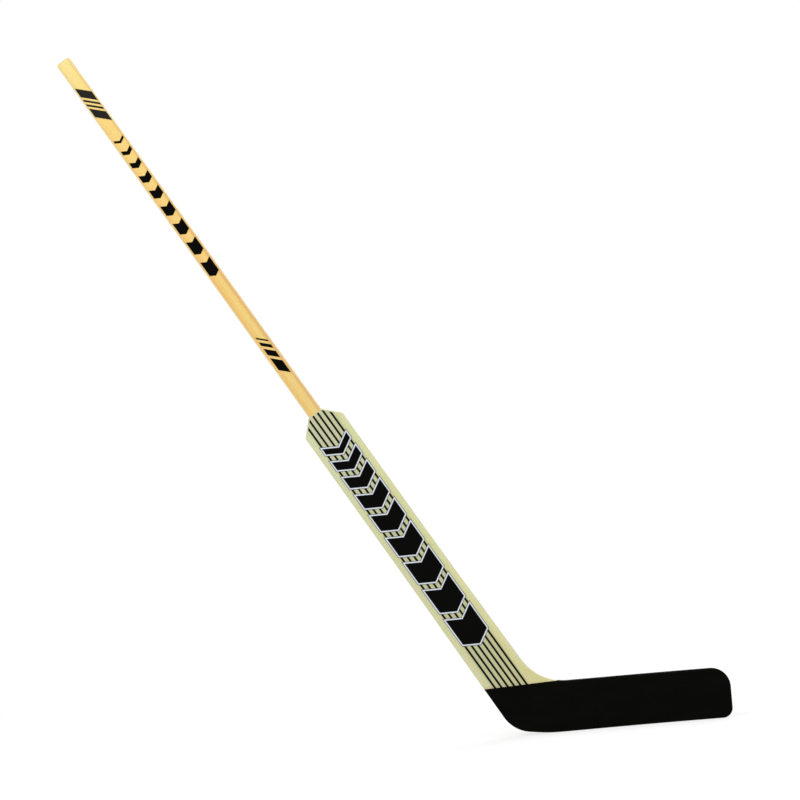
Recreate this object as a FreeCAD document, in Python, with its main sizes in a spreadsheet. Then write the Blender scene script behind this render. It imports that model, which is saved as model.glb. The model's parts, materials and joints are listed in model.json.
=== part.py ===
import FreeCAD, Part

import math
import os

import Sketcher

# Goalie stick, front face towards -Y, blade along +X, sole on z = 0.
# The origin is on the sole, half way along the blade. All outlines are drawn from the heel corner, the point
# where the heel-side edge of the paddle would meet the sole, and from the shaft's own axis.

# Driving dimensions, millimetres and degrees: name, value, what it is
driving_sizes = (
    ("lie_angle", 120.6, "angle between the shaft and the sole"),
    ("stick_length", 1418.0, "heel corner to butt end, along the shaft"),
    ("shaft_width", 26.6, "shaft, across the front face"),
    ("shaft_thickness", 20.0, "shaft, front to back"),
    ("core_ply_thickness", 8.0, "middle ply of the shaft, and the tongue"),
    ("grip_round", 6.0, "radius along the corners of the bare shaft"),
    ("butt_round", 5.5, "radius round the butt end"),
    ("paddle_length", 663.3, "heel corner to the top of the paddle"),
    ("paddle_width", 79.0, "paddle, edge to edge"),
    ("shoulder_length", 27.0, "sloping shoulders, along the shaft"),
    ("shoulder_round", 4.0, "radius of the shoulders' corners"),
    ("shoulder_block_depth", 45.0, "shoulder blocks, down from the top of the paddle"),
    ("rail_width", 8.0, "edge rails of the paddle"),
    ("edge_round", 4.5, "radius round the edges of paddle and blade"),
    ("skin_thickness", 0.8, "glass skin over the carbon"),
    ("carbon_thickness", 0.5, "carbon ply"),
    ("carbon_tape_width", 56.0, "carbon tape down the paddle"),
    ("carbon_tape_setback", 24.0, "top of the paddle to the end of the tape"),
    ("blade_length", 376.0, "heel corner to toe"),
    ("blade_height", 88.5, "sole to top edge"),
    ("blade_thickness", 16.0, "blade, where its taper ends"),
    ("toe_thickness", 11.6, "blade, at the toe"),
    ("toe_curve", 13.0, "how far the toe bends towards the front"),
    ("taper_start", 80.0, "heel corner to the start of the taper"),
    ("taper_end", 160.0, "heel corner to the end of the taper"),
    ("bend_place_share", 0.39, "middle of the bend, as a share of the way from the taper to the toe"),
    ("bend_ease_share", 0.6, "share of the run from the taper to the bend that bends"),
    ("taper_ease_share", 0.22, "share of the taper's length that eases each of its ends"),
    ("throat_radius", 90.0, "inner curve between paddle and blade"),
    ("throat_flare", 3.0, "how far the toe-side edge spreads on its way down to the throat"),
    ("heel_flare", 2.0, "how far the heel-side edge spreads on its way down to the heel"),
    ("flare_start", 340.0, "heel corner to where those edges start to spread, along the shaft"),
    ("flare_ease_share", 0.25, "share of a flare that eases out of the straight edge"),
    ("toe_top_radius", 34.0, "upper corner of the toe"),
    ("toe_sole_radius", 17.5, "lower corner of the toe"),
    ("heel_radius", 60.0, "outer curve of the heel"),
    ("heel_rise", 8.9, "heel edge to sole, under the start of the rocker"),
    ("rocker_length", 54.0, "heel corner to the middle of the rocker"),
    ("rocker_ease_share", 0.4, "share of the rocker that eases into the sole"),
    ("seam_drop", 2.8, "top of the blade down to its joint with the paddle, at the heel edge"),
    ("seam_rise", 2.0, "slope of that joint against the sole"),
    ("fork_length", 110.0, "tongue in the fork of the shaft, up from the joint"),
    ("tongue_root", 65.0, "tongue in the heel block, down from the joint"),
    ("heel_block_length", 95.0, "heel corner to the end of the heel block"),
    ("toe_block_length", 42.0, "toe block, back from the toe"),
    ("sole_strip_height", 12.0, "sole strip"),
    ("top_rail_height", 10.0, "top rail of the blade"),
    ("blade_carbon_inset", 12.0, "blade outline to the edge of its carbon"),
    ("overrun", 20.0, "how far cutting shapes reach past the stick"),
)

doc = FreeCAD.newDocument("goalie_stick")
sheet = doc.addObject("Spreadsheet::Sheet", "sizes")
for row, (alias, value, meaning) in enumerate(driving_sizes, start=1):
    sheet.set(f"A{row}", alias)
    sheet.set(f"B{row}", str(value))
    sheet.setAlias(f"B{row}", alias)
    sheet.set(f"C{row}", meaning)
doc.recompute()


class Size:
    # A value together with the sheet formula that gives it

    def __init__(self, value, formula):
        self.value = value
        self.formula = formula

    def __add__(self, other):
        other = as_size(other)
        return Size(self.value + other.value, f"({self.formula} + {other.formula})")

    def __sub__(self, other):
        other = as_size(other)
        return Size(self.value - other.value, f"({self.formula} - {other.formula})")

    def __mul__(self, other):
        other = as_size(other)
        return Size(self.value * other.value, f"({self.formula} * {other.formula})")

    def __truediv__(self, other):
        other = as_size(other)
        return Size(self.value / other.value, f"({self.formula} / {other.formula})")

    def __neg__(self):
        return Size(-self.value, f"(0 - {self.formula})")


def as_size(number):
    if isinstance(number, Size):
        return number
    return Size(float(number), f"{number}")


def size(alias):
    return Size(sheet.get(alias), f"sizes.{alias}")


def sine(angle):
    return Size(math.sin(math.radians(angle.value)), f"sin({angle.formula})")


def cosine(angle):
    return Size(math.cos(math.radians(angle.value)), f"cos({angle.formula})")


def tangent(angle):
    return sine(angle) / cosine(angle)


def magnitude(amount):
    return Size(abs(amount.value), f"abs({amount.formula})")


def bind(feature, prop, amount):
    feature.setExpression(prop, as_size(amount).formula)


zero = as_size(0)
right_angle = 90
overrun = size("overrun")
tilt = size("lie_angle") - right_angle
half_shaft_width = size("shaft_width") / 2
half_shaft = size("shaft_thickness") / 2
half_core_ply = size("core_ply_thickness") / 2
half_paddle_width = size("paddle_width") / 2
throat_edge = half_paddle_width + size("throat_flare")
heel_edge = half_paddle_width + size("heel_flare")
paddle_length = size("paddle_length")
shoulder_start = paddle_length - size("shoulder_length")
cover_thickness = size("skin_thickness") + size("carbon_thickness")
half_paddle = half_shaft + cover_thickness
blade_length = size("blade_length")
blade_height = size("blade_height")
seam_height = blade_height - size("seam_drop")
heel_to_origin = blade_length / 2
reach = size("stick_length") + blade_length


def on_shaft(across, along):
    # A place given across and along the shaft's axis, as distances along and above the sole
    from_edge = half_paddle_width + across
    along_sole = from_edge * cosine(tilt) - along * sine(tilt)
    above_sole = from_edge * sine(tilt) + along * cosine(tilt)
    return along_sole, above_sole


def at_height_on_edge(across, height):
    # Where a line along the shaft, a given distance off its axis, is at a given height above the sole
    from_edge = half_paddle_width + across
    return from_edge * cosine(tilt) - (height - from_edge * sine(tilt)) * tangent(tilt)


def seam_level(along_sole):
    from_heel_edge = along_sole - at_height_on_edge(-half_paddle_width, seam_height)
    return seam_height + from_heel_edge * tangent(size("seam_rise"))


# Sketches: closed outlines through corners, each corner (first, second, radius), radius None where it is sharp

def new_sketch(body, name, role):
    sketch = body.newObject("Sketcher::SketchObject", name)
    plane = next(feature for feature in body.Origin.OriginFeatures if feature.Role == role)
    sketch.AttachmentSupport = [(plane, "")]
    sketch.MapMode = "FlatFace"
    return sketch


def place_point(sketch, geometry, position, corner):
    # Ties one point of the sketch to its two sizes, measured from the sketch's origin
    for direction, amount in zip(("DistanceX", "DistanceY"), corner[:2]):
        rule = Sketcher.Constraint(direction, -1, 1, geometry, position, amount.value)
        bind(sketch, f"Constraints[{sketch.addConstraint(rule)}]", amount)


def round_corner(before, here, after, radius):
    # The tangent points and the centre of an arc that rounds one corner
    to_before = (before - here).normalize()
    to_after = (after - here).normalize()
    half_angle = to_before.getAngle(to_after) / 2
    run = radius / math.tan(half_angle)
    centre = here + (to_before + to_after).normalize() * (radius / math.sin(half_angle))
    return here + to_before * run, here + to_after * run, centre


def add_corner_arc(sketch, start, end, centre, radius):
    # Adds the arc and says which of its ends is the start: arcs run anticlockwise
    turns_left = (start - centre).cross(end - centre).z > 0
    first, last = (start, end) if turns_left else (end, start)
    angles = [math.atan2(point.y - centre.y, point.x - centre.x) for point in (first, last)]
    if angles[1] < angles[0]:
        angles[1] += 2 * math.pi
    circle = Part.Circle(centre, FreeCAD.Vector(0, 0, 1), radius)
    arc = sketch.addGeometry(Part.ArcOfCircle(circle, angles[0], angles[1]))
    return (arc, 1, 2) if turns_left else (arc, 2, 1)


def add_loop(sketch, corners):
    places = [FreeCAD.Vector(first.value, second.value, 0) for first, second, radius in corners]
    count = len(places)
    ends = []
    arcs = []
    for index, (first, second, radius) in enumerate(corners):
        if radius is None:
            ends.append((places[index], places[index]))
            arcs.append(None)
            continue
        neighbours = places[index - 1], places[index], places[(index + 1) % count]
        start, end, centre = round_corner(*neighbours, radius.value)
        ends.append((start, end))
        arcs.append(add_corner_arc(sketch, start, end, centre, radius.value))
    lines = []
    for index in range(count):
        following = (index + 1) % count
        lines.append(sketch.addGeometry(Part.LineSegment(ends[index][1], ends[following][0])))
    for index, corner in enumerate(corners):
        line_in, line_out = lines[index - 1], lines[index]
        if arcs[index] is None:
            sketch.addConstraint(Sketcher.Constraint("Coincident", line_in, 2, line_out, 1))
            place_point(sketch, line_out, 1, corner)
            continue
        arc, arc_start, arc_end = arcs[index]
        sketch.addConstraint(Sketcher.Constraint("Tangent", line_in, 2, arc, arc_start))
        sketch.addConstraint(Sketcher.Constraint("Tangent", line_out, 1, arc, arc_end))
        rule = Sketcher.Constraint("Radius", arc, corner[2].value)
        bind(sketch, f"Constraints[{sketch.addConstraint(rule)}]", corner[2])
        point = sketch.addGeometry(Part.Point(places[index]), True)
        sketch.addConstraint(Sketcher.Constraint("PointOnObject", point, 1, line_in))
        sketch.addConstraint(Sketcher.Constraint("PointOnObject", point, 1, line_out))
        place_point(sketch, point, 1, corner)


def rectangle(low, high, radius=None):
    return [
        (low[0], low[1], radius),
        (high[0], low[1], radius),
        (high[0], high[1], radius),
        (low[0], high[1], radius),
    ]


# Solids and their places

def put_on_sole(feature):
    bind(feature, "Placement.Base.x", -heel_to_origin)


def put_on_shaft(feature, across, front_to_back, along):
    # Turns a solid to the shaft's lie, with its own origin at the given place on the shaft
    turn = FreeCAD.Rotation(FreeCAD.Vector(0, -1, 0), tilt.value)
    feature.Placement = FreeCAD.Placement(FreeCAD.Vector(0, 0, 0), turn)
    along_sole, above_sole = on_shaft(across, along)
    bind(feature, "Placement.Rotation.Angle", tilt)
    bind(feature, "Placement.Base.x", along_sole - heel_to_origin)
    bind(feature, "Placement.Base.y", front_to_back)
    bind(feature, "Placement.Base.z", above_sole)


def box_sizes(name, low, high):
    box = doc.addObject("Part::Box", name)
    for prop, start, end in zip(("Length", "Width", "Height"), low, high):
        bind(box, prop, end - start)
    return box


def sole_box(name, along_range, height_range):
    # A block that crosses the blade from front to back
    low = along_range[0], -reach, height_range[0]
    box = box_sizes(name, low, (along_range[1], reach, height_range[1]))
    for prop, amount in zip("xyz", (low[0] - heel_to_origin, low[1], low[2])):
        bind(box, f"Placement.Base.{prop}", amount)
    return box


def shaft_box(name, across_range, depth_range, along_range):
    # A block that lies along the shaft
    low, high = zip(across_range, depth_range, along_range)
    box = box_sizes(name, low, high)
    put_on_shaft(box, *low)
    return box


def pad(body, sketch, length, symmetric=False):
    feature = body.newObject("PartDesign::Pad", f"{sketch.Name}_pad")
    feature.Profile = sketch
    feature.SideType = "Symmetric" if symmetric else "One side"
    bind(feature, "Length", length)
    return feature


def common(name, *shapes):
    feature = doc.addObject("Part::MultiCommon", name)
    feature.Shapes = list(shapes)
    return feature


def cut(name, base, tool):
    feature = doc.addObject("Part::Cut", name)
    feature.Base = base
    feature.Tool = tool
    return feature


# The broad faces, seen from above: straight along the paddle, tapered at the throat, bent towards the toe

taper_start = size("taper_start")
taper_end = size("taper_end")
taper_length = taper_end - taper_start
run_to_bend = (blade_length - taper_end) * size("bend_place_share")
run_to_toe = blade_length - taper_end - run_to_bend


def easing_radius(ease_length, slope_before, slope_after):
    # Radius of a slight bend between two slopes that takes up a given length on each side of its corner
    return ease_length * 2 / magnitude(slope_after - slope_before)


def face_corners(side, depth):
    # Corners of one broad face, or of a layer boundary a given depth under it; side is -1 front, 1 back
    half_blade = size("blade_thickness") / 2
    half_toe = size("toe_thickness") / 2
    half_at_bend = half_blade - (half_blade - half_toe) * size("bend_place_share")
    at_paddle = (half_paddle - depth) * side
    at_taper_end = (half_blade - depth) * side
    at_bend = (half_at_bend - depth) * side
    at_toe = (half_toe - depth) * side - size("toe_curve")
    taper_slope = (at_taper_end - at_paddle) / taper_length
    blade_slope = (at_bend - at_taper_end) / run_to_bend
    toe_slope = (at_toe - at_bend) / run_to_toe
    taper_ease = taper_length * size("taper_ease_share")
    bend_ease = run_to_bend * size("bend_ease_share")
    return [
        (-reach, at_paddle, None),
        (taper_start, at_paddle, easing_radius(taper_ease, zero, taper_slope)),
        (taper_end, at_taper_end, easing_radius(taper_ease, taper_slope, blade_slope)),
        (taper_end + run_to_bend, at_bend, easing_radius(bend_ease, blade_slope, toe_slope)),
        (blade_length + overrun, at_toe + toe_slope * overrun, None),
    ]


def layer(name, first_face, second_face):
    # The space between two layer boundaries, each (side, depth), over the whole height of the stick
    body = doc.addObject("PartDesign::Body", name)
    sketch = new_sketch(body, f"{name}_plan", "XY_Plane")
    add_loop(sketch, face_corners(*first_face) + face_corners(*second_face)[::-1])
    pad(body, sketch, reach * 2, symmetric=True)
    put_on_sole(body)
    return body


# The shaped blank of paddle and blade: sawn to its outline, planed to its faces, rounded along its edges

def stick_outline():
    top = paddle_length
    edge = half_paddle_width
    shoulder_round = size("shoulder_round")
    heel_rise = size("heel_rise")
    heel_side = at_height_on_edge(-heel_edge, heel_rise)
    rocker_run = size("rocker_length") - heel_side
    rocker_ease = rocker_run * size("rocker_ease_share")
    flare_start = size("flare_start")
    throat_flare_length = flare_start - blade_height
    throat_ease = throat_flare_length * size("flare_ease_share")
    throat_slope = size("throat_flare") / throat_flare_length
    heel_flare_length = flare_start - heel_rise
    heel_ease = heel_flare_length * size("flare_ease_share")
    heel_slope = size("heel_flare") / heel_flare_length
    return [
        (*on_shaft(-half_shaft_width, top), shoulder_round),
        (*on_shaft(-edge, shoulder_start), shoulder_round),
        (*on_shaft(-edge, flare_start), easing_radius(heel_ease, zero, heel_slope)),
        (heel_side, heel_rise, size("heel_radius")),
        (size("rocker_length"), zero, easing_radius(rocker_ease, -heel_rise / rocker_run, zero)),
        (blade_length, zero, size("toe_sole_radius")),
        (blade_length, blade_height, size("toe_top_radius")),
        (at_height_on_edge(throat_edge, blade_height), blade_height, size("throat_radius")),
        (*on_shaft(edge, flare_start), easing_radius(throat_ease, zero, throat_slope)),
        (*on_shaft(edge, shoulder_start), shoulder_round),
        (*on_shaft(half_shaft_width, top), shoulder_round),
    ]


def is_broad(face):
    # True for the front and back faces, which look along Y more than across it
    first_low, first_high, second_low, second_high = face.ParameterRange
    normal = face.normalAt((first_low + first_high) / 2, (second_low + second_high) / 2)
    return abs(normal.y) > math.hypot(normal.x, normal.z)


def rim_edges(shape):
    # Edges where a broad face meets a narrow wall
    names = []
    for number, edge in enumerate(shape.Edges, start=1):
        faces = shape.ancestorsOfType(edge, Part.Face)
        if len({is_broad(face) for face in faces}) == 2:
            names.append(f"Edge{number}")
    return names


def make_blank():
    body = doc.addObject("PartDesign::Body", "blank")
    outline = new_sketch(body, "blank_outline", "XZ_Plane")
    add_loop(outline, stick_outline())
    pad(body, outline, reach * 2, symmetric=True)
    waste = new_sketch(body, "blank_waste", "XY_Plane")
    for side in (-1, 1):
        far = reach * 2 * side
        outer = [(blade_length + overrun, far, None), (-reach, far, None)]
        add_loop(waste, face_corners(side, zero) + outer)
    planing = body.newObject("PartDesign::Pocket", "blank_planing")
    planing.Profile = waste
    planing.Type = "ThroughAll"
    planing.SideType = "Symmetric"
    doc.recompute()
    rounding = body.newObject("PartDesign::Fillet", "blank_rounding")
    rounding.Base = (planing, rim_edges(planing.Shape))
    bind(rounding, "Radius", size("edge_round"))
    put_on_sole(body)
    return body


def make_shaft_blank():
    # Square inside the paddle, rounded along its corners above the shoulders, eased round the butt end
    body = doc.addObject("PartDesign::Body", "shaft_blank")
    low = -half_shaft_width, -half_shaft
    high = half_shaft_width, half_shaft
    spine = new_sketch(body, "spine_section", "XY_Plane")
    add_loop(spine, rectangle(low, high))
    pad(body, spine, shoulder_start)
    grip = new_sketch(body, "grip_section", "XY_Plane")
    add_loop(grip, rectangle(low, high, size("grip_round")))
    whole = pad(body, grip, size("stick_length"))
    doc.recompute()
    end_edges = []
    for number, edge in enumerate(whole.Shape.Edges, start=1):
        if all(vertex.Z > shoulder_start.value + overrun.value for vertex in edge.Vertexes):
            end_edges.append(f"Edge{number}")
    easing = body.newObject("PartDesign::Fillet", "butt_easing")
    easing.Base = (whole, end_edges)
    bind(easing, "Radius", size("butt_round"))
    put_on_shaft(body, zero, zero, zero)
    return body


def seam_side(name, far_level):
    # Everything on one side of the joint between paddle and blade
    body = doc.addObject("PartDesign::Body", name)
    sketch = new_sketch(body, f"{name}_outline", "XZ_Plane")
    left, right = -reach, blade_length + overrun
    add_loop(sketch, [
        (left, seam_level(left), None),
        (right, seam_level(right), None),
        (right, far_level, None),
        (left, far_level, None),
    ])
    pad(body, sketch, reach * 2, symmetric=True)
    put_on_sole(body)
    return body


blank = make_blank()
shaft_blank = make_shaft_blank()
above_seam = seam_side("above_seam", reach)
below_seam = seam_side("below_seam", -reach)
front_cover = layer("front_cover", (-1, -overrun), (-1, cover_thickness))
front_ply = layer("front_ply", (-1, size("skin_thickness")), (-1, cover_thickness))
core = layer("core", (-1, cover_thickness), (1, cover_thickness))
back_ply = layer("back_ply", (1, cover_thickness), (1, size("skin_thickness")))
back_cover = layer("back_cover", (1, cover_thickness), (1, -overrun))
covers = {"front": (front_cover, front_ply), "back": (back_cover, back_ply)}
sides = {"heel_side": -1, "toe_side": 1}

seam_on_axis = (seam_height - half_paddle_width * sine(tilt)) / cosine(tilt)
fork_top = seam_on_axis + size("fork_length")
tongue_end = seam_on_axis - size("tongue_root")
through = -reach, reach
pieces = []


def across_range(side, inner, outer):
    # From an inner to an outer distance off the shaft's axis, on one side of it
    return (inner, outer) if side > 0 else (-outer, -inner)


# The shaft

def make_outer_ply(face, depth_range):
    whole_width = -half_shaft_width, half_shaft_width
    slab = shaft_box(f"{face}_slab", whole_width, depth_range, (zero, size("stick_length")))
    pieces.append(common(f"shaft_{face}_ply", shaft_blank, slab, above_seam))


def make_core_ply():
    whole_width = -half_shaft_width, half_shaft_width
    middle = -half_core_ply, half_core_ply
    slab = shaft_box("middle_slab", whole_width, middle, (fork_top, size("stick_length")))
    pieces.append(common("shaft_core_ply", shaft_blank, slab))


# The paddle

foam_edge = half_paddle_width - size("rail_width")
rail_edges = {"heel_side": heel_edge, "toe_side": throat_edge}
block_start = paddle_length - size("shoulder_block_depth")


def make_foam_strip(name, side):
    strip = shaft_box(f"{name}_foam_strip", across_range(side, half_shaft_width, foam_edge), through,
                      (zero, block_start))
    pieces.append(common(f"{name}_foam", blank, core, above_seam, strip))


def make_rail(name, side):
    strip = shaft_box(f"{name}_rail_strip", across_range(side, foam_edge, rail_edges[name]), through,
                      (zero, paddle_length))
    pieces.append(common(f"{name}_rail", blank, core, above_seam, strip))


def make_shoulder(name, side):
    # Fills the corner between shaft and rail, and wraps the rounded corners of the shaft
    inner = half_shaft_width - size("grip_round")
    region = shaft_box(f"{name}_shoulder_region", across_range(side, inner, foam_edge), through,
                       (block_start, paddle_length))
    blocked = common(f"{name}_shoulder_blank", blank, core, region)
    pieces.append(cut(f"{name}_shoulder", blocked, shaft_blank))


def make_throat_gusset():
    region = shaft_box("throat_region", (throat_edge, throat_edge + reach), through, through)
    pieces.append(common("throat_gusset", blank, core, above_seam, region))


def make_paddle_cover(face):
    cover, ply = covers[face]
    half_tape = size("carbon_tape_width") / 2
    strip = shaft_box(f"{face}_tape_strip", (-half_tape, half_tape), through,
                      (zero, paddle_length - size("carbon_tape_setback")))
    tape = common(f"paddle_{face}_carbon", blank, ply, above_seam, strip)
    sheet_blank = common(f"paddle_{face}_sheet", blank, cover, above_seam)
    pieces.append(tape)
    pieces.append(cut(f"paddle_{face}_skin", sheet_blank, tape))


# The blade

toe_block_start = blade_length - size("toe_block_length")
heel_block_end = size("heel_block_length")
sole_strip_top = size("sole_strip_height")
top_rail_base = blade_height - size("top_rail_height")


def make_tongue():
    tongue = shaft_box("blade_tongue", (-half_shaft_width, half_shaft_width), (-half_core_ply, half_core_ply),
                       (tongue_end, fork_top))
    pieces.append(tongue)
    return tongue


def make_heel_block(tongue):
    region = sole_box("heel_region", (-reach, heel_block_end), through)
    blocked = common("heel_block_blank", blank, core, below_seam, region)
    pieces.append(cut("heel_block", blocked, tongue))


def make_blade_strip(name, along_range, height_range):
    region = sole_box(f"{name}_region", along_range, height_range)
    pieces.append(common(name, blank, core, below_seam, region))


def make_blade_cover(face):
    cover, ply = covers[face]
    inset = size("blade_carbon_inset")
    region = sole_box(f"{face}_carbon_region", (inset, blade_length - inset), (inset, blade_height - inset))
    carbon = common(f"blade_{face}_carbon", blank, ply, below_seam, region)
    sheet_blank = common(f"blade_{face}_sheet", blank, cover, below_seam)
    pieces.append(carbon)
    pieces.append(cut(f"blade_{face}_skin", sheet_blank, carbon))


make_outer_ply("front", (-half_shaft, -half_core_ply))
make_core_ply()
make_outer_ply("back", (half_core_ply, half_shaft))
for side_name, side_sign in sides.items():
    make_foam_strip(side_name, side_sign)
    make_rail(side_name, side_sign)
    make_shoulder(side_name, side_sign)
make_throat_gusset()
for face_name in covers:
    make_paddle_cover(face_name)
make_heel_block(make_tongue())
middle_stretch = heel_block_end, toe_block_start
make_blade_strip("blade_core", middle_stretch, (sole_strip_top, top_rail_base))
make_blade_strip("blade_top_rail", middle_stretch, (top_rail_base, reach))
make_blade_strip("blade_sole_strip", middle_stretch, (-reach, sole_strip_top))
make_blade_strip("toe_block", (toe_block_start, reach), through)
for face_name in covers:
    make_blade_cover(face_name)
doc.recompute()

failed = [feature.Name for feature in doc.Objects if {"Invalid", "Error"} & set(feature.State)]
if failed:
    raise RuntimeError(f"features failed: {failed}")
for piece in pieces:
    piece.Label = piece.Name
    if piece.Shape.isNull() or not piece.Shape.isValid() or len(piece.Shape.Solids) != 1:
        raise RuntimeError(f"{piece.Label} is not one sound solid")

os.makedirs("parts", exist_ok=True)
for piece in pieces:
    piece.Shape.exportStep(f"parts/{piece.Label}.step")
    print(f"{piece.Label}: {piece.Shape.Volume:.0f} cubic millimetres")
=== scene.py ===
import json
import math

import bpy
from mathutils import Color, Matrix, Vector


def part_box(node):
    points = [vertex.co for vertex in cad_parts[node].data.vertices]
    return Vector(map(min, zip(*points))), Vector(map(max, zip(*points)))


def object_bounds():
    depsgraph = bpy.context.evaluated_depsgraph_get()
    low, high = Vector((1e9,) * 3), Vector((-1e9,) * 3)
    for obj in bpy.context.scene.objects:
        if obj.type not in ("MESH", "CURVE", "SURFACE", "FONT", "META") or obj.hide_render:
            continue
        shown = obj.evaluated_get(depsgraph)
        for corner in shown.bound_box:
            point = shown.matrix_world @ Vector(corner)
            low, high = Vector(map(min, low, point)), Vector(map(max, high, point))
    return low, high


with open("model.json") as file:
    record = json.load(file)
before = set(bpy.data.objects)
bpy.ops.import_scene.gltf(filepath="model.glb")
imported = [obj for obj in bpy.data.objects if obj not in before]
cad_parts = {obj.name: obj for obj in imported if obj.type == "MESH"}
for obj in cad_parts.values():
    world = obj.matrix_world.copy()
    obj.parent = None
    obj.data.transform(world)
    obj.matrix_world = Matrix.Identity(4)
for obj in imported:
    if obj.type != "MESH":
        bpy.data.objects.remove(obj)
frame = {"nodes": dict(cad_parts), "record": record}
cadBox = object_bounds()
nodes = frame["nodes"]
print("frame loaded,", len(nodes), "nodes")

# the shaft's own axes start at its butt end, where the record has a mount
mounts = {mount["name"]: mount for mount in frame["record"]["mounts"]}
buttEnd = Vector(mounts["butt_end"]["pos_m"])
shaftAxis = Vector(mounts["butt_end"]["axis"])  # up, out of the butt end
shaftLean = math.atan2(-shaftAxis.x, shaftAxis.z)
acrossAxis = Vector((math.cos(shaftLean), 0, math.sin(shaftLean)))  # towards the toe side


def reach(node, axis):                          # both ends of a node along an axis, from the butt end
    places = [(vertex.co - buttEnd).dot(axis) for vertex in nodes[node].data.vertices]
    return min(places), max(places)


class Wire:                                     # one shader socket, so that shader maths reads as sums
    def __init__(self, tree, socket=None):
        self.tree = tree
        self.socket = socket

    def node(self, kind, settings=None, sockets=None, out=0):
        made = self.tree.nodes.new(kind)
        for name, value in (settings or {}).items():
            if name == "stops":
                fillRamp(made.color_ramp, value)
            else:
                setattr(made, name, value)
        for name, value in (sockets or {}).items():
            if isinstance(value, Wire):
                self.tree.links.new(value.socket, made.inputs[name])
            else:
                made.inputs[name].default_value = value
        return Wire(self.tree, made.outputs[out])

    def sibling(self, out):                     # another output of the same node
        return Wire(self.tree, self.socket.node.outputs[out])

    def math(self, operation, *values):
        return self.node("ShaderNodeMath", {"operation": operation}, dict(enumerate(values)))

    def __add__(self, other):
        return self.math("ADD", self, other)

    def __radd__(self, other):
        return self.math("ADD", other, self)

    def __sub__(self, other):
        return self.math("SUBTRACT", self, other)

    def __rsub__(self, other):
        return self.math("SUBTRACT", other, self)

    def __mul__(self, other):
        return self.math("MULTIPLY", self, other)

    def __rmul__(self, other):
        return self.math("MULTIPLY", other, self)

    def __truediv__(self, other):
        return self.math("DIVIDE", self, other)

    def __mod__(self, other):
        return self.math("FLOORED_MODULO", self, other)

    def __lt__(self, other):
        return self.math("LESS_THAN", self, other)

    def __gt__(self, other):
        return self.math("GREATER_THAN", self, other)

    def __or__(self, other):                    # either mask, or the greater value
        return self.math("MAXIMUM", self, other)

    def __and__(self, other):                   # both masks, or the lesser value
        return self.math("MINIMUM", self, other)

    def __abs__(self):
        return self.math("ABSOLUTE", self)


def fillRamp(ramp, stops):                      # a new ramp already has two stops
    for index, (position, tone) in enumerate(stops):
        stop = ramp.elements[index] if index < 2 else ramp.elements.new(position)
        stop.position = position
        stop.color = tone


def paint(red, green, blue):                    # a tone as a paint program writes it, 0 to 255
    tone = Color((red / 255, green / 255, blue / 255)).from_srgb_to_scene_linear()
    return (*tone, 1)


def eased(value, low, high):                    # 0 up to low, 1 from high on; low may be the greater
    limits = {"Value": value, "From Min": low, "From Max": high}
    return value.node("ShaderNodeMapRange", {"interpolation_type": "SMOOTHSTEP"}, limits)


def near(value, middle, half):                  # 1 within half of the middle
    return value.math("COMPARE", value, middle, half)


def wave(value, pitch):                         # rises and falls once in each pitch, 0 to 1
    return value.math("SINE", value * (2 * math.pi / pitch)) * 0.5 + 0.5


def varied(levels, value):                      # a plain level, and what the value adds to it
    return levels[0] + value * levels[1]


def blend(mask, under, over, kind="MIX"):       # a Mix node has its colours at 6 and 7, and out at 2
    maker = mask if isinstance(mask, Wire) else under
    settings = {"data_type": "RGBA", "blend_type": kind}
    return maker.node("ShaderNodeMix", settings, {0: mask, 6: under, 7: over}, 2)


def toneRamp(value, stops):
    return value.node("ShaderNodeValToRGB", {"stops": stops}, {"Fac": value})


def drawnOut(space, scale, shift):
    return space.node("ShaderNodeMapping", None, {"Vector": space, "Scale": scale, "Location": shift})


def noiseLayer(scale, detail, limits, strength=1, tone=None):
    return {"scale": scale, "detail": detail, "limits": limits, "strength": strength, "tone": tone}


def grain(space, layer, shift=(0, 0, 0)):       # a layer's noise, 0 to 1 between its limits
    cloud = {"Vector": drawnOut(space, layer["scale"], shift), "Scale": 1, "Detail": layer["detail"]}
    return eased(space.node("ShaderNodeTexNoise", None, cloud), *layer["limits"])


def layered(tone, space, layers, shift=(0, 0, 0)):  # the layers' tones, one over another, and their relief
    relief = 0
    for layer in layers:
        mask = grain(space, layer, shift) * layer["strength"]
        tone = blend(mask, tone, layer["tone"])
        relief = mask + relief
    return tone, relief


def bumped(height, depth):
    return height.node("ShaderNodeBump", None, {"Height": height, "Distance": depth})


def broadFace(place, limits):                   # 1 on the flat of a face, 0 round its edges
    facing = place.node("ShaderNodeSeparateXYZ", None, {"Vector": place.sibling("Normal")}, "Y")
    return eased(abs(facing), *limits)


def newMaterial(name, fixed):                   # a material, its shader and its object coordinates
    material = bpy.data.materials.new(name)
    material.use_nodes = True
    shader = material.node_tree.nodes["Principled BSDF"]
    for socket, value in fixed.items():
        shader.inputs[socket].default_value = value
    return material, shader, Wire(material.node_tree).node("ShaderNodeTexCoord", out="Object")


def feed(shader, wires):
    for socket, wire in wires.items():
        wire.tree.links.new(wire.socket, shader.inputs[socket])


def shaftSpace(place):                          # object coordinates turned to the shaft's own axes
    shift = (-buttEnd.dot(acrossAxis), 0, -buttEnd.dot(shaftAxis))
    turned = {"Vector": place, "Rotation": (0, shaftLean, 0), "Location": shift}
    return place.node("ShaderNodeMapping", None, turned)


def shaftPlace(space):                          # across, front to back, and down from the butt end
    across = space.node("ShaderNodeSeparateXYZ", None, {"Vector": space})
    return across, across.sibling("Y"), 0 - across.sibling("Z")


def dress(material, *names):
    for name in names:
        nodes[name].data.materials.clear()
        nodes[name].data.materials.append(material)


def barRow(lengths, gap, start):                # middle and half of each bar in a row with equal gaps
    bars = []
    for length in lengths:
        bars.append((start + length / 2, length / 2))
        start += length + gap
    return bars


def growing(first, step, count):
    return [first + step * index for index in range(count)]


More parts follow.
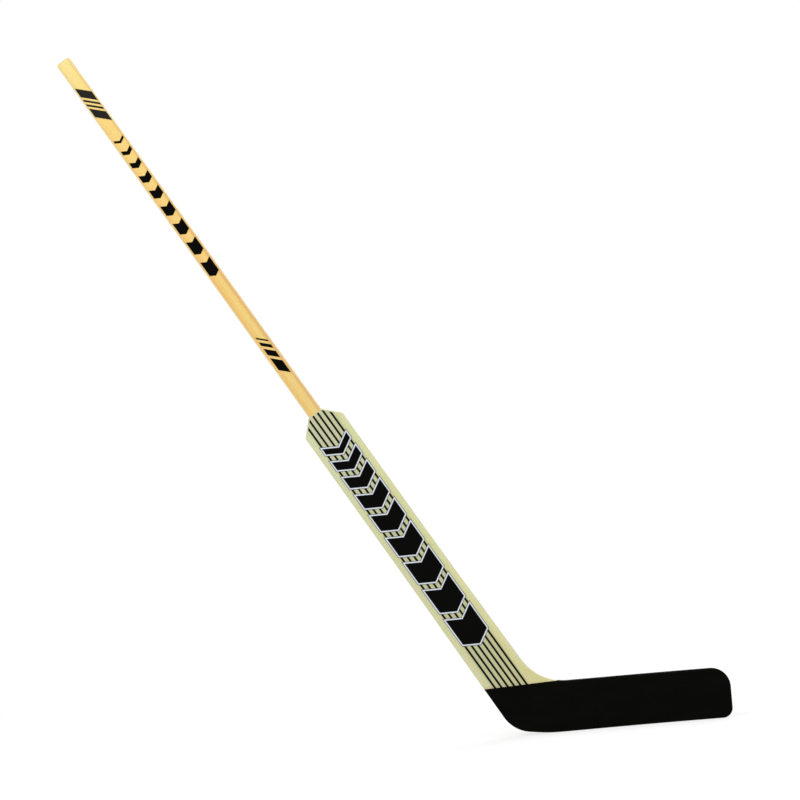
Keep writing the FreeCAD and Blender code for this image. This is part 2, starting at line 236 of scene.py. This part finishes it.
def besideRow(across, along, row):              # distance outside a row of bars, below 0 on a bar
    beside = [abs(along - middle) - half for middle, half in row["bars"]]
    nearest = beside[0]
    for other in beside[1:]:
        nearest = nearest & other
    return (nearest / math.hypot(1, row["slant"])) | (abs(across) - row["half"])


def slantedRow(across, down, row):
    return besideRow(across, down - across * row["slant"], row)


def chevronRow(across, down, row):
    return besideRow(across, down + abs(across) * row["slant"], row)


def inked(beside, soft, border=0):              # 1 inside an edge that a border moves out, 0 outside it
    return eased(beside, border + soft, border - soft)


# shaft: three plies of varnished wood, with black ink on both broad faces
shaft = {
    "length": -reach("shaft_front_ply", shaftAxis)[0],
    "half": reach("shaft_core_ply", acrossAxis)[1],
    "glueDepth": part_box("shaft_core_ply")[1].y,
    # each ply: where the middle of the tree was, a shift of its grain, and a cast over its tones
    "front": {"pith": (0.021, 0.052), "shift": (3.1, 0.7, 1.9), "cast": paint(255, 255, 255)},
    "core": {"pith": (0.048, 0.017), "shift": (8.4, 5.2, 4.3), "cast": paint(248, 234, 216)},
    "back": {"pith": (0.017, -0.047), "shift": (1.3, 9.6, 7.7), "cast": paint(255, 255, 255)},
    "fixed": {"Specular IOR Level": 0.03, "Coat Roughness": 0.28},
    "gloss": (0.5, -0.2),                       # varnish, and what the grain's relief takes off it
    "roughness": (0.4, 0.3),
    "tones": (                                  # down its length, paler at the butt end: painted light that falls off towards the paddle
        (0.0, paint(255, 236, 154)), (0.1, paint(255, 223, 135)),
        (0.34, paint(249, 214, 128)), (0.52, paint(243, 213, 131)),
    ),
    "paintedShadeTints": (                                  # painted shade across its width, from the heel side: an orange band where the heel-side corner turns from the light, and a darker line near the toe-side corner
        (0.06, paint(255, 252, 252)), (0.16, paint(252, 240, 238)), (0.3, paint(252, 237, 226)),
        (0.4, paint(253, 246, 241)), (0.48, paint(255, 255, 253)), (0.72, paint(254, 254, 254)),
        (0.79, paint(247, 238, 235)), (0.85, paint(235, 220, 215)), (0.92, paint(244, 229, 233)),
    ),
    "paintedShadeReach": (-0.25, 0.45),                 # where the painted shade sets in, down from the butt end
    "rimHighlight": (0.0102, 0.013),                     # where the rounded corners set in, and the painted highlight on them, from the middle
    "rimHighlightTone": paint(255, 238, 192),
    "rimHighlightStrength": 0.7,
    "wander": noiseLayer((6, 6, 1.6), 1, (0.2, 0.8)),
    "wanderReach": 0.0022,
    "ringPitch": 0.0021,
    "ringTilt": 0.0042,
    "ringTone": paint(222, 160, 84),
    "ringStrength": (0.16, 0.3),                # along the shaft, and what the sawn end adds
    "lateWood": (0.35, 0.94),                   # part of each year in which the wood darkens
    "grain": (                                  # scale, detail, limits, strength, tone
        noiseLayer((150, 150, 0.7), 1, (0.42, 0.7), 0.24, paint(244, 196, 108)),
        noiseLayer((240, 240, 1.0), 1, (0.5, 0.75), 0.26, paint(255, 238, 182)),
        noiseLayer((560, 560, 2.5), 2, (0.48, 0.8), 0.14, paint(206, 150, 82)),
        noiseLayer((1500, 1500, 9), 2, (0.54, 0.76), 0.13, paint(180, 122, 62)),
        noiseLayer((3200, 3200, 90), 1, (0.64, 0.7), 0.16, paint(142, 94, 50)),
    ),
    "relief": 0.00012,
    "endDepth": 0.0022,
    "endTone": paint(228, 188, 118),
    "endStrength": 0.5,
    "glueTone": paint(150, 104, 56),
    "glueHalf": 0.00025,
    "glueStrength": 0.55,
    "ink": paint(5, 5, 3),
    "bandInk": paint(39, 38, 34),
    "inkSoft": 0.0005,                          # half the width of an edge of ink
    "band": {"half": 0.0108, "slant": 1.0, "bars": barRow((0.019, 0.005, 0.005, 0.019), 0.0046, 0.062)},
    "chevrons": {"half": 0.0098, "slant": 0.58, "bars": barRow(growing(0.005, 0.003, 9), 0.017, 0.171)},
    "ticks": {"half": 0.0078, "slant": 1.0, "bars": barRow((0.004, 0.008, 0.014, 0.026), 0.006, 0.595)},
}


def shaftInk(across, down):                     # the band near the butt end, and the other marks
    band = slantedRow(across, down, shaft["band"])
    marks = chevronRow(across, down, shaft["chevrons"]) & slantedRow(across, down, shaft["ticks"])
    return inked(band, shaft["inkSoft"]), inked(marks, shaft["inkSoft"])


def woodRings(space, down, wander, pith):       # the late wood of each year, in rings about the pith
    middle = drawnOut(space, (1, 1, 0), (*pith, 0))
    radius = space.node("ShaderNodeVectorMath", {"operation": "LENGTH"}, {0: middle}, "Value")
    run = radius + down * shaft["ringTilt"] + wander * shaft["wanderReach"]
    year = (run / shaft["ringPitch"]) % 1
    start, end = shaft["lateWood"]
    return eased(year, start, end) * (1 - eased(year, end, 1))


def shaftWood(name, ply, printed):
    material, shader, place = newMaterial(name, shaft["fixed"])
    space = shaftSpace(place)
    across, depth, down = shaftPlace(space)
    wander = grain(space, shaft["wander"], ply["shift"])
    swayed = across + (wander - 0.5) * shaft["wanderReach"]
    # painted shade across the width, where the rounded corners turn from the light
    paintedShadeTints = toneRamp(swayed / (shaft["half"] * 2) + 0.5, shaft["paintedShadeTints"])
    # painted light: the wood paler at the butt end and darker towards the paddle
    tone = toneRamp(down / shaft["length"], shaft["tones"])
    tone = blend(eased(down, *shaft["paintedShadeReach"]), tone, paintedShadeTints, "MULTIPLY")
    tone = blend(1, tone, ply["cast"], "MULTIPLY")
    # painted highlight: the rounded corners paler, as where they catch the light
    tone = blend(eased(abs(across), *shaft["rimHighlight"]) * shaft["rimHighlightStrength"], tone, shaft["rimHighlightTone"])
    end = 1 - eased(down, 0, shaft["endDepth"])
    tone = blend(end * shaft["endStrength"], tone, shaft["endTone"])
    rings = woodRings(space, down, wander, ply["pith"])
    tone = blend(rings * varied(shaft["ringStrength"], end), tone, shaft["ringTone"])
    tone, relief = layered(tone, space, shaft["grain"], ply["shift"])
    glue = near(abs(depth), shaft["glueDepth"], shaft["glueHalf"])
    tone = blend(glue * shaft["glueStrength"], tone, shaft["glueTone"])
    gloss = varied(shaft["gloss"], relief)
    if printed:
        band, marks = shaftInk(across, down)
        tone = blend(band, tone, shaft["bandInk"])
        tone = blend(marks, tone, shaft["ink"])
        gloss = gloss * (1 - (band | marks))
    feed(shader, {"Base Color": tone, "Roughness": varied(shaft["roughness"], relief),
                  "Coat Weight": gloss, "Normal": bumped(relief, -shaft["relief"])})
    return material


dress(shaftWood("frontPlyWood", shaft["front"], True), "shaft_front_ply")
dress(shaftWood("corePlyWood", shaft["core"], False), "shaft_core_ply", "blade_tongue")
dress(shaftWood("backPlyWood", shaft["back"], True), "shaft_back_ply")
print("shaft dressed, length", round(shaft["length"], 3), "half width", round(shaft["half"], 4))


# paddle: pale fibreglass over carbon tape, six pin stripes and a row of outlined chevrons
paddle = {
    "top": -reach("paddle_front_skin", shaftAxis)[1],
    "bottom": -reach("paddle_front_skin", shaftAxis)[0],
    "half": -reach("heel_side_rail", acrossAxis)[0],
    "face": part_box("paddle_back_skin")[1].y,
    "seam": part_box("paddle_front_skin")[0].z,
    "fixed": {"Specular IOR Level": 0.03, "Coat Roughness": 0.25},
    "gloss": (0.45, -0.4),                      # resin, and what the mottle takes off it
    "roughness": (0.42, 0.3),
    "glass": (                                  # down its length
        (0.0, paint(218, 221, 174)), (0.5, paint(217, 217, 168)), (1.0, paint(222, 217, 165)),
    ),
    "tape": (                                   # the same where the carbon tape shows through
        (0.0, paint(203, 206, 169)), (0.5, paint(200, 201, 160)), (1.0, paint(199, 197, 153)),
    ),
    "paintedLightCasts": (                                  # painted light across its width, from the heel side: cooler on the heel side, warmer towards the toe side
        (0.0, paint(251, 253, 255)), (0.7, paint(254, 254, 248)), (1.0, paint(255, 254, 238)),
    ),
    "tapeHalf": 0.0285,
    "tapeFray": 0.0016,
    "rimHighlight": (0.029, 0.039),                      # where the painted highlight on the margins sets in, from the middle
    "rimHighlightTone": paint(245, 243, 200),
    "rimHighlightStrength": 0.3,
    "throatReach": (0.105, 0.14),               # heights over which the margin's painted highlight starts above the throat
    "ribPitch": 0.00541,                        # ribs of the cloth
    "ribSkew": 0.037,
    "ribTone": paint(146, 146, 102),
    "ribStrength": 0.15,
    "ribFlat": (0.9, 0.99),
    "ribPatches": noiseLayer((16, 16, 9), 2, (0.3, 0.66)),
    "ribLevels": (0.3, 0.7),                    # the faintest ribs, and what a patch adds
    "warpPitch": 0.0027,
    "warpStrength": 0.2,
    "mottle": (                                 # scale, detail, limits, strength, tone
        noiseLayer((24, 24, 8), 3, (0.45, 0.75), 0.08, paint(182, 178, 124)),
        noiseLayer((160, 160, 20), 2, (0.5, 0.8), 0.1, paint(230, 232, 192)),
        noiseLayer((70, 70, 2400), 2, (0.5, 0.75), 0.12, paint(166, 164, 116)),
    ),
    "relief": 0.00005,
    "seamTone": paint(184, 168, 138),
    "seamReach": 0.008,
    "seamStrength": 0.5,
    "printDepth": 0.0005,
    "printShift": -0.0008,
    "printSkew": 0.002,
    "ink": paint(5, 5, 3),
    "inkSoft": 0.0005,                          # half the width of an edge of ink
    "stripeGap": 0.00971,
    "stripeHalf": 0.00183,
    "stripeCount": 6,
    "outline": paint(222, 229, 239),
    "outlineWidth": 0.0022,
    "keyWidth": 0.0009,                         # thin black line round the outline
    "chevrons": {"half": 0.0258, "slant": 0.58, "bars": barRow(growing(0.012, 0.005, 9), 0.0165, 0.072)},
}


def paddleShare(down):                          # 0 at the top of the paddle, 1 at its lower end
    return (down - paddle["top"]) / (paddle["bottom"] - paddle["top"])


def paddleStripes(across):                      # evenly spaced about the middle
    gap, count = paddle["stripeGap"], paddle["stripeCount"]
    fromStripe = abs((across / gap + count / 2) % 1 - 0.5) * gap
    stripes = inked(fromStripe - paddle["stripeHalf"], paddle["inkSoft"])
    return stripes & (abs(across) < gap * count / 2)


def paddleGlass(name):
    material, shader, place = newMaterial(name, paddle["fixed"])
    space = shaftSpace(place)
    across, depth, down = shaftPlace(space)
    height = place.node("ShaderNodeSeparateXYZ", None, {"Vector": place}, "Z")
    drop = paddleShare(down)
    fray = (grain(space, paddle["mottle"][0]) - 0.5) * paddle["tapeFray"]
    offTape = eased(abs(across) + fray, paddle["tapeHalf"] - paddle["tapeFray"], paddle["tapeHalf"])
    tone = blend(offTape, toneRamp(drop, paddle["tape"]), toneRamp(drop, paddle["glass"]))
    # painted light across the width, evening out how the sides are lit
    paintedLightCasts = toneRamp(across / (paddle["half"] * 2) + 0.5, paddle["paintedLightCasts"])
    tone = blend(1, tone, paintedLightCasts, "MULTIPLY")
    # painted highlight on the margins, where the rounded edges catch the light; on the toe side only above
    # the throat
    aboveThroat = eased(height, *paddle["throatReach"]) | (across < 0)
    rimHighlight = eased(abs(across), *paddle["rimHighlight"]) * aboveThroat
    tone = blend(rimHighlight * paddle["rimHighlightStrength"], tone, paddle["rimHighlightTone"])
    tone, relief = layered(tone, space, paddle["mottle"])
    patches = varied(paddle["ribLevels"], grain(space, paddle["ribPatches"]))
    ribs = wave(down + across * paddle["ribSkew"], paddle["ribPitch"]) * patches
    weave = ribs + wave(across, paddle["warpPitch"]) * paddle["warpStrength"]
    tone = blend(weave * paddle["ribStrength"], tone, paddle["ribTone"])
    seam = 1 - eased(height, paddle["seam"], paddle["seam"] + paddle["seamReach"])
    tone = blend(seam * paddle["seamStrength"], tone, paddle["seamTone"])
    # print: black stripes, then chevrons in black with a pale outline and a thin black line round it
    below = down - paddle["top"]
    printed = across - paddle["printShift"] - below * paddle["printSkew"]
    onFace = abs(depth) > paddle["face"] - paddle["printDepth"]
    beside = chevronRow(printed, below, paddle["chevrons"])
    key = inked(beside, paddle["inkSoft"], paddle["outlineWidth"] + paddle["keyWidth"])
    lines = (paddleStripes(printed) | key) & onFace
    pale = inked(beside, paddle["inkSoft"], paddle["outlineWidth"]) & onFace
    black = inked(beside, paddle["inkSoft"]) & onFace
    tone = blend(lines, tone, paddle["ink"])
    tone = blend(pale, tone, paddle["outline"])
    tone = blend(black, tone, paddle["ink"])
    gloss = varied(paddle["gloss"], relief) * (1 - (lines - pale + black))
    weave = weave * broadFace(place, paddle["ribFlat"])
    feed(shader, {"Base Color": tone, "Roughness": varied(paddle["roughness"], relief),
                  "Coat Weight": gloss, "Normal": bumped(weave, -paddle["relief"])})
    return material


dress(paddleGlass("paddleGlass"), "paddle_front_skin", "paddle_back_skin")
print("paddle faces dressed, from", round(paddle["top"], 3), "to", round(paddle["bottom"], 3))


# paddle edges: wood strips sealed with the same resin as the faces
paddleEdge = {
    "fixed": {"Specular IOR Level": 0.05, "Coat Roughness": 0.25},
    "gloss": (0.45, -0.4),
    "roughness": (0.42, 0.3),
    "tones": ((0.0, paint(226, 228, 180)), (1.0, paint(224, 219, 170))),  # down the paddle
    "grain": (                                  # scale, detail, limits, strength, tone
        noiseLayer((120, 120, 1.2), 2, (0.42, 0.75), 0.22, paint(204, 190, 132)),
        noiseLayer((520, 520, 6), 4, (0.5, 0.8), 0.2, paint(176, 154, 98)),
        noiseLayer((1500, 1500, 18), 3, (0.56, 0.76), 0.16, paint(156, 132, 80)),
    ),
    "relief": 0.0001,
}


def sealedRail(name):
    material, shader, place = newMaterial(name, paddleEdge["fixed"])
    space = shaftSpace(place)
    across, depth, down = shaftPlace(space)
    tone = toneRamp(paddleShare(down), paddleEdge["tones"])
    tone, relief = layered(tone, space, paddleEdge["grain"])
    feed(shader, {"Base Color": tone, "Roughness": varied(paddleEdge["roughness"], relief),
                  "Coat Weight": varied(paddleEdge["gloss"], relief),
                  "Normal": bumped(relief, -paddleEdge["relief"])})
    return material


dress(sealedRail("sealedRail"), "heel_side_rail", "toe_side_rail", "heel_side_shoulder",
      "toe_side_shoulder", "throat_gusset")
print("paddle edges dressed")


# blade: satin black over cloth on its faces, over wood on its edges, the sole a little rubbed
blade = {
    "fixed": {"Specular IOR Level": 0.03},
    "roughness": (0.44, 0.3),
    "tone": paint(3, 3, 1),
    "marks": (                                  # scale, detail, limits, strength, tone
        noiseLayer((14, 14, 40), 4, (0.4, 0.8), 0.4, paint(12, 12, 6)),
        noiseLayer((30, 300, 700), 3, (0.64, 0.74), 0.2, paint(28, 27, 22)),
    ),
    "rubbedTone": paint(40, 38, 35),
    "rubbedHeight": 0.004,
    "rubbedStrength": 0.5,
    "clothPitch": 0.0026,
    "clothFlat": (0.9, 0.99),
    "clothRelief": 0.00003,
    "woodGrain": noiseLayer((5, 900, 900), 3, (0.35, 0.75)),
    "woodRelief": -0.00004,
    "surfaceRoughness": 0.05,                   # what the cloth or the grain adds
}


def bladeBlack(name, overCloth):
    material, shader, place = newMaterial(name, blade["fixed"])
    along = place.node("ShaderNodeSeparateXYZ", None, {"Vector": place})
    height = along.sibling("Z")
    tone, relief = layered(blade["tone"], place, blade["marks"])
    rubbed = (1 - eased(height, 0, blade["rubbedHeight"])) * grain(place, blade["marks"][0])
    tone = blend(rubbed * blade["rubbedStrength"], tone, blade["rubbedTone"])
    if overCloth:
        cloth = wave(along + height, blade["clothPitch"]) * wave(along - height, blade["clothPitch"])
        surface = cloth * broadFace(place, blade["clothFlat"])
        normal = bumped(surface, blade["clothRelief"])
    else:
        surface = grain(place, blade["woodGrain"])
        normal = bumped(surface, blade["woodRelief"])
    roughness = varied(blade["roughness"], relief) + surface * blade["surfaceRoughness"]
    feed(shader, {"Base Color": tone, "Roughness": roughness, "Normal": normal})
    return material


dress(bladeBlack("bladeCloth", True), "blade_front_skin", "blade_back_skin")
dress(bladeBlack("bladeEdge", False), "heel_block", "blade_top_rail", "blade_sole_strip", "toe_block")
print("blade dressed")


# what the skins hide: carbon cloth and foam
carbon = {
    "fixed": {"Specular IOR Level": 0.4},
    "roughness": (0.3, 0.2),
    "tows": ((0.0, paint(22, 22, 24)), (1.0, paint(52, 53, 56))),
    "towPitch": 0.004,
    "towShares": (0.6, 0.4),                    # slanting and level tows
    "relief": 0.00006,
}
foam = {
    "fixed": {"Specular IOR Level": 0.15},
    "roughness": (0.9, -0.15),
    "cells": ((0.0, paint(176, 158, 102)), (0.35, paint(222, 206, 150)), (1.0, paint(234, 220, 168))),
    "cellScale": 900,
    "cellWall": 0.3,
    "relief": 0.0002,
}


def carbonCloth(name):
    material, shader, place = newMaterial(name, carbon["fixed"])
    across, depth, down = shaftPlace(shaftSpace(place))
    slanting = wave(across + down, carbon["towPitch"]) * carbon["towShares"][0]
    twill = slanting + wave(down, carbon["towPitch"]) * carbon["towShares"][1]
    feed(shader, {"Base Color": toneRamp(twill, carbon["tows"]),
                  "Roughness": varied(carbon["roughness"], twill),
                  "Normal": bumped(twill, carbon["relief"])})
    return material


def foamCells(name):
    material, shader, place = newMaterial(name, foam["fixed"])
    cells = place.node("ShaderNodeTexVoronoi", {"feature": "DISTANCE_TO_EDGE"},
                       {"Vector": place, "Scale": foam["cellScale"]})
    inside = eased(cells, 0, foam["cellWall"])
    feed(shader, {"Base Color": toneRamp(inside, foam["cells"]),
                  "Roughness": varied(foam["roughness"], inside),
                  "Normal": bumped(inside, -foam["relief"])})
    return material


dress(carbonCloth("carbonCloth"), "paddle_front_carbon", "paddle_back_carbon", "blade_front_carbon",
      "blade_back_carbon")
dress(foamCells("foamCells"), "heel_side_foam", "toe_side_foam", "blade_core")
print("hidden pieces dressed")


# floor and background: white to the camera, and the floor keeps the stick's shadow
stage = {
    "floorRadius": 7.0,
    "floorSides": 96,
    "floorTone": (0.8, 0.8, 0.8, 1),
    "shadowTone": (0.45, 0.45, 0.45, 1),
    "shadowGlow": 0.62,
    "shadowReach": (0.9, 2.2),                  # the shadow fades out over this distance
    "worldTone": (1, 1, 1, 1),
    "worldStrength": 0.62,
}


def seenRays(wire):                             # 1 for what the camera, a gloss or a glass sees
    path = wire.node("ShaderNodeLightPath", out="Is Camera Ray")
    return path | path.sibling("Is Glossy Ray") | path.sibling("Is Transmission Ray")


def floorMaterial():
    material = bpy.data.materials.new("paleFloor")
    material.use_nodes = True
    tree = material.node_tree
    tree.nodes.remove(tree.nodes["Principled BSDF"])
    place = Wire(tree).node("ShaderNodeTexCoord", out="Object")
    away = place.node("ShaderNodeVectorMath", {"operation": "LENGTH"}, {0: place}, "Value")
    far = eased(away, *stage["shadowReach"])
    glow = place.node("ShaderNodeEmission", None, {"Strength": stage["shadowGlow"]})
    shade = place.node("ShaderNodeBsdfDiffuse", None, {"Color": stage["shadowTone"]})
    close = place.node("ShaderNodeAddShader", None, {0: glow, 1: shade})
    white = place.node("ShaderNodeEmission")
    seen = place.node("ShaderNodeMixShader", None, {0: far, 1: close, 2: white})
    plain = place.node("ShaderNodeBsdfDiffuse", None, {"Color": stage["floorTone"]})
    mixed = place.node("ShaderNodeMixShader", None, {0: seenRays(place), 1: plain, 2: seen})
    tree.links.new(mixed.socket, tree.nodes["Material Output"].inputs["Surface"])
    return material


def makeFloor():
    bpy.ops.object.select_all(action="DESELECT")
    bpy.ops.mesh.primitive_circle_add(vertices=stage["floorSides"], radius=stage["floorRadius"],
                                      fill_type="NGON")
    floor = bpy.context.object
    floor.name = "floor"
    floor.data.materials.append(floorMaterial())


def makeWorld():
    world = bpy.data.worlds.new("whiteRoom")
    bpy.context.scene.world = world
    world.use_nodes = True
    strength = stage["worldStrength"] + seenRays(Wire(world.node_tree)) * (1 - stage["worldStrength"])
    background = world.node_tree.nodes["Background"]
    background.inputs["Color"].default_value = stage["worldTone"]
    world.node_tree.links.new(strength.socket, background.inputs["Strength"])


# soft round lamps, all aimed at the middle of the stick
lamps = {
    "key": {"place": (-2.6, -4.2, 3.6), "size": 3.0, "power": 95},
    "fill": {"place": (3.2, -3.0, 1.8), "size": 3.0, "power": 28},
    "rear": {"place": (1.2, 4.4, 3.2), "size": 3.0, "power": 75},
}


def makeLamp(name, lamp):
    centre = (cadBox[0] + cadBox[1]) / 2
    bpy.ops.object.light_add(type="AREA", location=lamp["place"])
    light = bpy.context.object
    light.name = name + "Lamp"
    light.rotation_euler = (centre - light.location).to_track_quat("-Z", "Y").to_euler()
    light.data.shape = "DISK"
    light.data.size = lamp["size"]
    light.data.energy = lamp["power"]
    light.visible_camera = False


makeFloor()
makeWorld()
for name, lamp in lamps.items():
    makeLamp(name, lamp)
print("stage and light made")


# camera: square on to the front face, rolled a little; span is the width that it takes in
camera = {"lens": 200, "aim": (-0.3419, 0.6007), "span": 1.3952, "roll": 5.05, "clipTimes": 10}


def makeCamera():
    bpy.ops.object.camera_add()
    made = bpy.context.object
    made.data.lens = camera["lens"]
    distance = camera["span"] * camera["lens"] / made.data.sensor_width
    made.location = (camera["aim"][0], -distance, camera["aim"][1])
    made.rotation_euler = (math.pi / 2, math.radians(camera["roll"]), 0)
    made.data.clip_end = distance * camera["clipTimes"]
    bpy.context.scene.camera = made


makeCamera()
bpy.context.scene.view_settings.view_transform = "Standard"
print("camera set")
